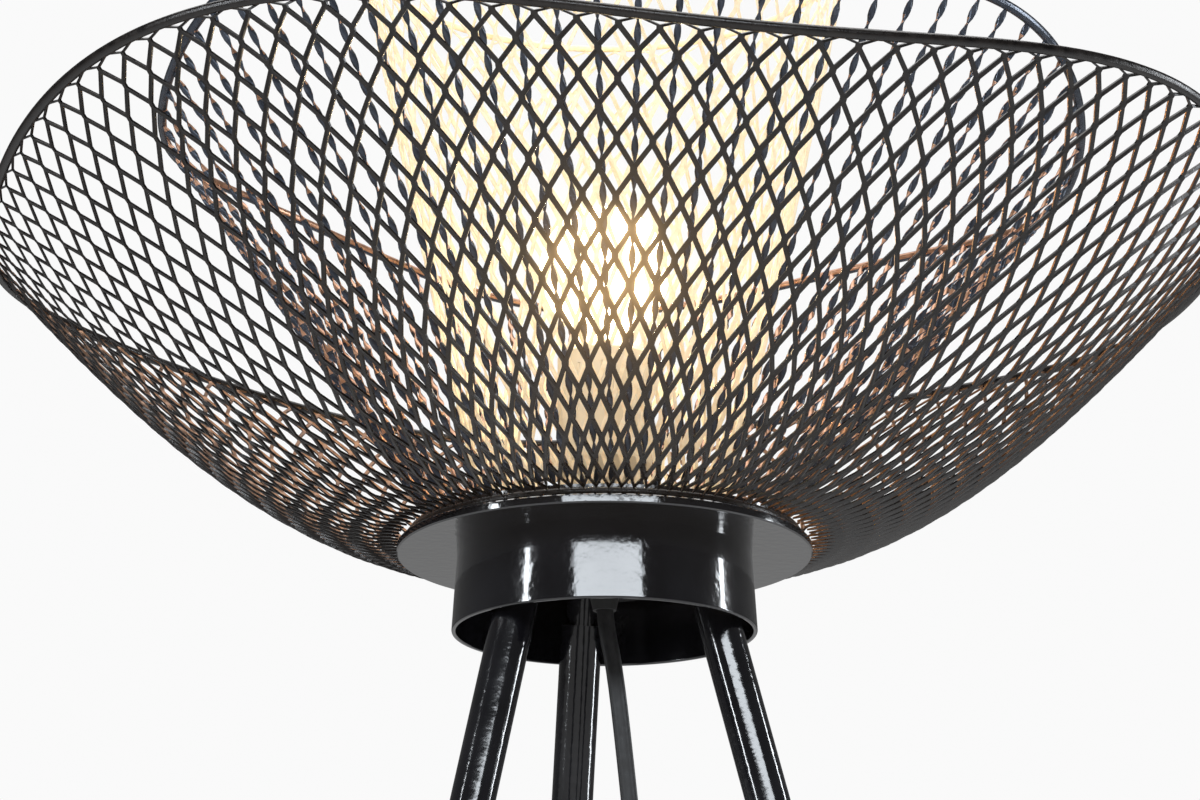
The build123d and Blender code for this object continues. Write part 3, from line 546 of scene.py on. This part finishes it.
def onto_wall(bm, columns, levels, shape, around, rows, bulge):
    """Moves the cells onto a basket's wall, with their faces outwards."""
    for vertex in bm.verts:
        column, row = columns[vertex], levels[vertex]
        lift = 0.5 - bond / 2 if (column + row) % 2 == 0 else bond / 2 - 0.5
        share = (row + lift + 0.5) / rows
        stretch = bulge * share * (1 - share) * (even_rise - share)
        vertex.co = wall_point(shape, 180 * column / around, min(hem * (share + stretch), rim_line))
    bmesh.ops.recalc_face_normals(bm, faces=bm.faces)
    first = next(iter(bm.faces))
    if first.normal.dot(first.calc_center_median() - above_the_lamp) < 0:
        bmesh.ops.reverse_faces(bm, faces=bm.faces)


# %% [markdown]
# Each cell is inset: the ring is the metal, and the middle is cut away. Pulling also turns every strand
# on edge, so that a real net looks thick from one side and thin from the other. The ring's two sides are
# pushed in and out to turn it too, and they are drawn in a little, because the metal is widest where two
# strands meet. At last the sheet gets its thickness.

# %% Helper for an expanded net
side_draw = 0.3
narrow_draw = 0.2


def net(shape, around, rows, width, wall, tilt, skew=0.0, bulge=0.0):
    """Strands on a basket's wall: around cells in a row, rows of bonds from hoop to rim, sizes in metres."""
    bm, columns, levels = brickwork(around, rows)
    onto_wall(bm, columns, levels, shape, around, rows, bulge)
    middles = list(bm.faces)
    bmesh.ops.inset_individual(bm, faces=middles, thickness=width / 2, use_even_offset=True)
    for face in middles:
        centre = face.calc_center_median()
        normal = face.normal.copy()
        side = Vector((0, 0, 1)).cross(normal).normalized()
        rise = normal.cross(side)
        spots = [((v.co - centre).dot(side), (v.co - centre).dot(rise)) for v in face.verts]
        wide = max(abs(across) for across, up in spots)
        tall = max(abs(up) for across, up in spots)
        for vertex, (across, up) in zip(face.verts, spots):
            vertex.co -= normal * (tilt * across / wide + skew * up / tall)
            vertex.co -= side * across / wide * min(width * side_draw, wide * narrow_draw)
    bmesh.ops.delete(bm, geom=middles, context="FACES_ONLY")
    bmesh.ops.solidify(bm, geom=bm.faces[:], thickness=wall)
    bm.normal_update()
    return bm


# %% [markdown]
# The bowl was sprayed black from outside and copper from inside, so a face's finish follows from where it
# looks. One more helper sorts the faces, for the bowl, the strips and the middle rim alike.

# %% Helper for two paints
upwards = Vector((0, 0, 0.45))


def two_tone(bm, lean=0.25):
    """Faces that look inwards and up get the second finish."""
    for face in bm.faces:
        out = face.calc_center_median() - axis
        out.z = 0
        out.normalize()
        inwards = face.normal.dot((upwards - out).normalized())
        face.material_index = 1 if inwards > lean else 0


# %% [markdown]
# The outer bowl is coarse and strong. The inner net is thinner, and its strands are also tipped, so that
# one run of them looks broad and the other thin. Both stay flat-shaded, because cut metal has sharp
# edges.

# %% The two nets
outer_net = net(outer_shape, around=112, rows=18, width=0.0016, wall=0.0009, tilt=0.00045, bulge=0.43)
two_tone(outer_net)
piece(outer_net, "outer_net", [net_black, net_copper], ("outer_mesh",), smooth=False)
inner_net = net(inner_shape, around=48, rows=22, width=0.0015, wall=0.0004, tilt=0.0005, skew=-0.0005)
piece(inner_net, "inner_net", [ivory_net_painted_glow], ("inner_mesh",), smooth=False)

# %% [markdown]
# The middle basket is no net. It is a cage of flat strips, each twisted along its whole length like a
# ribbon and welded to a small hoop below and to the wavy rod above. On the lamp in the photograph the
# cage leans: its rim is turned, tipped and shifted a little on its hoop, and this helper moves its places
# in the same way.

# %% Helper for the cage's lean
cage_height = 0.2
cage_turn = -6
cage_tip = -0.044
cage_shift_x = 0.007
cage_shift_y = -0.0015


def leaning(place):
    """A place of the cage, moved more the higher it is."""
    share = (place.z - plate_top) / cage_height
    turned_place = axis + Matrix.Rotation(radians(cage_turn * share), 3, "Z") @ (place - axis)
    tipped = (turned_place.x - axis.x) * cage_tip * share
    return turned_place + Vector((cage_shift_x * share, cage_shift_y * share, tipped))


# %% [markdown]
# A strip is a flat six-sided ring that is spun about its own straight axis while it moves along it. The
# ring starts as a circle, is pressed flat, and is stood upright on the strip's axis. Every strip starts
# at another angle, because they are twisted one by one.

# %% Helper for a twisted strip
strip_width = 0.0034
strip_thickness = 0.0009
half_twist = 0.0115
steps_per_twist = 5


def twisted_strip(start, end, out, first_angle):
    """A flat strip from start to end, twisted by a half turn every half_twist metres."""
    along = (end - start).normalized()
    across = along.cross(out).normalized()
    strip = bmesh.new()
    section = bmesh.ops.create_circle(strip, cap_ends=False, segments=6, radius=0.5)["verts"]
    flat = Matrix.Diagonal((strip_width, strip_thickness, 1, 1))
    upright = Matrix((across, along.cross(across), along)).transposed().to_4x4()
    phase = Matrix.Rotation(radians(first_angle), 4, "Z")
    bmesh.ops.transform(strip, matrix=Matrix.Translation(start) @ upright @ phase @ flat, verts=section)
    twists = round((end - start).length / half_twist)
    steps = twists * steps_per_twist
    bmesh.ops.spin(strip, geom=list(strip.edges), cent=start, axis=along, dvec=(end - start) / steps,
                   angle=pi * twists, steps=steps)
    bmesh.ops.recalc_face_normals(strip, faces=strip.faces)
    return strip


# %% [markdown]
# A loop makes all the strips and gathers them in one mesh, because they are welded into one cage.

# %% The cage's strips
strip_count = 76
foot_radius = 0.070
foot_lift = 0.002
next_angle = 137

strips = bmesh.new()
one_strip = bpy.data.meshes.new("one_strip")
for number in range(strip_count):
    turn = 360 * number / strip_count
    reach, top = rim_point(*middle_rim, turn)
    out = Vector((cos(radians(turn)), sin(radians(turn)), 0))
    start = axis + out * foot_radius + Vector((0, 0, plate_top + foot_lift))
    end = leaning(axis + out * reach / 1000 + Vector((0, 0, top / 1000)))
    strip = twisted_strip(start, end, out, next_angle * number)
    strip.to_mesh(one_strip)
    strip.free()
    strips.from_mesh(one_strip)
bpy.data.meshes.remove(one_strip)
strips.normal_update()
two_tone(strips, lean=0.2)
print("strips", strip_count, "faces", len(strips.faces))

# %% [markdown]
# The hoops and rims are round rods. Each is a closed spline with a round bevel, turned into a mesh so
# that its ends need no seam, and painted like its basket. A spline cuts inside its points, so they stand
# a hair outside.

# %% Helpers for rods
rod_points = 72


def rim_places(radius, height, squareness=0.0, wave=0.0):
    """Places round a rim or a hoop."""
    places = []
    for number in range(rod_points):
        turn = 360 * number / rod_points
        reach, up = rim_point(radius, height, squareness, wave, turn)
        reach = reach / 1000 * (1 + (pi / rod_points) ** 2 / 2)
        places.append(axis + Vector((reach * cos(radians(turn)), reach * sin(radians(turn)), up / 1000)))
    return places


def rod(name, places, radius, materials, nodes):
    """A closed round rod through places."""
    data = bpy.data.curves.new(name, "CURVE")
    data.dimensions = "3D"
    data.bevel_depth = radius
    data.bevel_resolution = 3
    data.resolution_u = 4
    closed = data.splines.new("NURBS")
    closed.points.add(len(places) - 1)
    for point, place in zip(closed.points, places):
        point.co = (*place, 1)
    closed.order_u = 3
    closed.use_cyclic_u = True
    made = bpy.data.objects.new(name, data)
    bpy.context.scene.collection.objects.link(made)
    bpy.context.view_layer.update()
    bm = bmesh.new()
    bm.from_mesh(bpy.data.meshes.new_from_object(made))
    bpy.data.objects.remove(made)
    bmesh.ops.recalc_face_normals(bm, faces=bm.faces)
    if len(materials) == 2:
        two_tone(bm)
    return piece(bm, name, materials, nodes)


# %% [markdown]
# The rods carry the load, so those of the two big baskets are thicker than those of the light inner net.
# The middle rim leans with its cage, and its hoop stays on the plate.

# %% Rods and cage
outer_rim_wire = 0.0022
middle_rim_wire = 0.0021
hoop_wire = 0.002
inner_wire = 0.0015

rod("outer_rim_rod", rim_places(*outer_rim), outer_rim_wire, [net_black], ("outer_rim",))
rod("outer_hoop_rod", rim_places(88, 6), hoop_wire, [net_black], ("outer_hoop",))
middle_top = [leaning(place) for place in rim_places(*middle_rim)]
rod("middle_rim_rod", middle_top, middle_rim_wire, [strip_dark, strip_copper],
    ("middle_rim",))
rod("inner_rim_rod", rim_places(*inner_rim), inner_wire, [ivory_net_painted_glow], ("inner_rim",))
rod("inner_hoop_rod", rim_places(50, 5.5), inner_wire, [ivory_net_painted_glow], ("inner_hoop",))
piece(strips, "twisted_strips", [strip_dark, strip_copper], ("middle_ribs",))
rod("middle_hoop_rod", rim_places(70, 6), hoop_wire, [strip_dark], ("middle_ribs",))

# %% [markdown]
# ## The solids that stay
# The plate, cup, legs, holder, bulb, switch and plug have the right shapes already. Each gets its finish
# by name. The bracket inside the cup is plated steel in the record, but it looks black in the photograph,
# so it wears the black enamel as painted shade for the dark under the cup.

# %% Finishes of the solids
wears = {
    # The leg bracket's black enamel is painted shade: the bracket is zinc-plated steel lying in the shade
    # under the cup.
    black_enamel: "base_plate hub_cup leg_bracket leg_right leg_back leg_left outer_ring middle_ring "
                  "inner_ring holder_riser",
    zinc_steel: "leg_end_plugs leg_studs ring_nuts threaded_nipple lock_washer nipple_nut "
                "terminal_screws switch_screws switch_spring",
    black_rubber: "foot_right foot_back foot_left switch_sleeve_in switch_sleeve_out plug_sleeve cord_grip",
    ivory_plastic: "holder_cap holder_shell holder_core switch_contacts",
    brass: "thread_sleeve centre_contact plug_pins",
    nickel: "bulb_cap",
    bulb_glow: "bulb_glass",
    filament_glow: "bulb_filaments bulb_stem",
    black_glass: "bulb_insulator",
    cord_sheath: "cord_inside cord_tie",
    black_plastic: "switch_base switch_cover switch_button plug_body",
}
for material, names in wears.items():
    for name in names.split():
        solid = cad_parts[name]
        solid.data.materials.clear()
        solid.data.materials.append(material)
print("solids dressed", sum(len(names.split()) for names in wears.values()))

# %% [markdown]
# ## Floor and light
# The floor is plain and pale, and so wide that its edge is lost in the pale room.

# %% Floor
floor_reach = 40
floor_mesh = bmesh.new()
bmesh.ops.create_grid(floor_mesh, x_segments=1, y_segments=1, size=floor_reach)
floor_data = bpy.data.meshes.new("floor")
floor_mesh.to_mesh(floor_data)
floor_mesh.free()
floor = bpy.data.objects.new("floor", floor_data)
bpy.context.scene.collection.objects.link(floor)
floor_data.materials.append(finish("pale floor", (0.8, 0.8, 0.8), rough=0.9))
print("floor reaches", floor_reach, "m to each side")

# %% [markdown]
# Large soft lights stand in front, above and to both sides, like studio softboxes. Black enamel shows
# little but reflections, so their shapes matter more than their power: a wide flat one makes the bright
# window on the cup, and two tall thin ones draw the long highlights on the legs.


# %% Softboxes
def softbox(name, place, target, size, power, colour=(1, 1, 1)):
    """A rectangular light that faces a place on or near the lamp, both given from its axis on the floor."""
    light = bpy.data.lights.new(name, "AREA")
    light.shape = "RECTANGLE"
    light.size, light.size_y = size
    light.energy = power
    light.color = colour
    lamp = bpy.data.objects.new(name, light)
    bpy.context.scene.collection.objects.link(lamp)
    lamp.location = axis + Vector(place)
    lamp.rotation_euler = (axis + Vector(target) - lamp.location).to_track_quat("-Z", "Y").to_euler()
    print(name, "power", power)


softbox("front_window", (-0.4, -2.4, 2.05), (0, 0, 1.2), (2.3, 0.45), 36, (0.88, 0.94, 1))
softbox("left_box", (-2.3, -0.7, 1.7), (0, 0, 1.1), (0.16, 1.6), 22, (0.9, 0.95, 1))
softbox("right_box", (2.35, -0.1, 1.5), (0, 0, 1.1), (0.2, 1.6), 24, (0.9, 0.95, 1))
softbox("top_box", (0, 0.3, 3.4), (0, 0, 1.2), (2.2, 2.2), 45)

# %% [markdown]
# The glowing glass alone would light the baskets with much noise. A point light of the bulb's size at the
# same place does it cleanly.

# %% The bulb's own light
bulb_height = 0.136
bulb_radius = 0.031
glow = bpy.data.lights.new("bulb_light", "POINT")
glow.energy = 12
glow.color = (1.0, 0.72, 0.42)
glow.shadow_soft_size = bulb_radius
bulb_light = bpy.data.objects.new("bulb_light", glow)
bpy.context.scene.collection.objects.link(bulb_light)
bulb_light.location = axis + Vector((0, 0, plate_base + bulb_height))
print("bulb light at", tuple(round(v, 3) for v in bulb_light.location))

# %% [markdown]
# The room behind is nearly white where the camera sees it. If it lit the lamp as brightly, the black
# paint would turn grey, so its strength depends on the kind of ray: full for the camera, under half for
# soft light, and a tenth for reflections.

# %% The room
room_white = 0.955
reflected_strength = 0.1
soft_share = 0.4
world = bpy.data.worlds.new("pale room")
bpy.context.scene.world = world
world.use_nodes = True
room = world.node_tree
background = room.nodes["Background"]
background.inputs["Color"].default_value = (room_white, room_white, room_white, 1)
ray = room.nodes.new("ShaderNodeLightPath")
shared = room.nodes.new("ShaderNodeMath")
shared.operation = "MULTIPLY_ADD"
shared.inputs[1].default_value = soft_share
strength = room.nodes.new("ShaderNodeMapRange")
strength.inputs["To Min"].default_value = reflected_strength
strength.inputs["To Max"].default_value = 1.0
room.links.new(ray.outputs["Is Diffuse Ray"], shared.inputs[0])
room.links.new(ray.outputs["Is Camera Ray"], shared.inputs[2])
room.links.new(shared.outputs["Value"], strength.inputs["Value"])
room.links.new(strength.outputs["Result"], background.inputs["Strength"])
bpy.context.scene.view_settings.view_transform = "Standard"
print("room white", room_white)

# %% [markdown]
# In the photograph the bulb's light spreads over the strands in front of it, as it does in every real
# lens. No piece glows there, so the glow is added to the finished picture: the Glare node spreads only
# what is much brighter than white, which is the bulb.

# %% Glow in the picture
bpy.context.scene.use_nodes = True
picture = bpy.context.scene.node_tree
picture.nodes.clear()
layer = picture.nodes.new("CompositorNodeRLayers")
bloom = picture.nodes.new("CompositorNodeGlare")
bloom.glare_type = "BLOOM"
bloom.quality = "HIGH"
bloom.inputs["Threshold"].default_value = 1.5
bloom.inputs["Strength"].default_value = 0.55
bloom.inputs["Tint"].default_value = (1.0, 0.78, 0.52, 1)
shown = picture.nodes.new("CompositorNodeComposite")
picture.links.new(layer.outputs["Image"], bloom.inputs["Image"])
picture.links.new(bloom.outputs["Image"], shown.inputs["Image"])
print("picture nodes", len(picture.nodes))
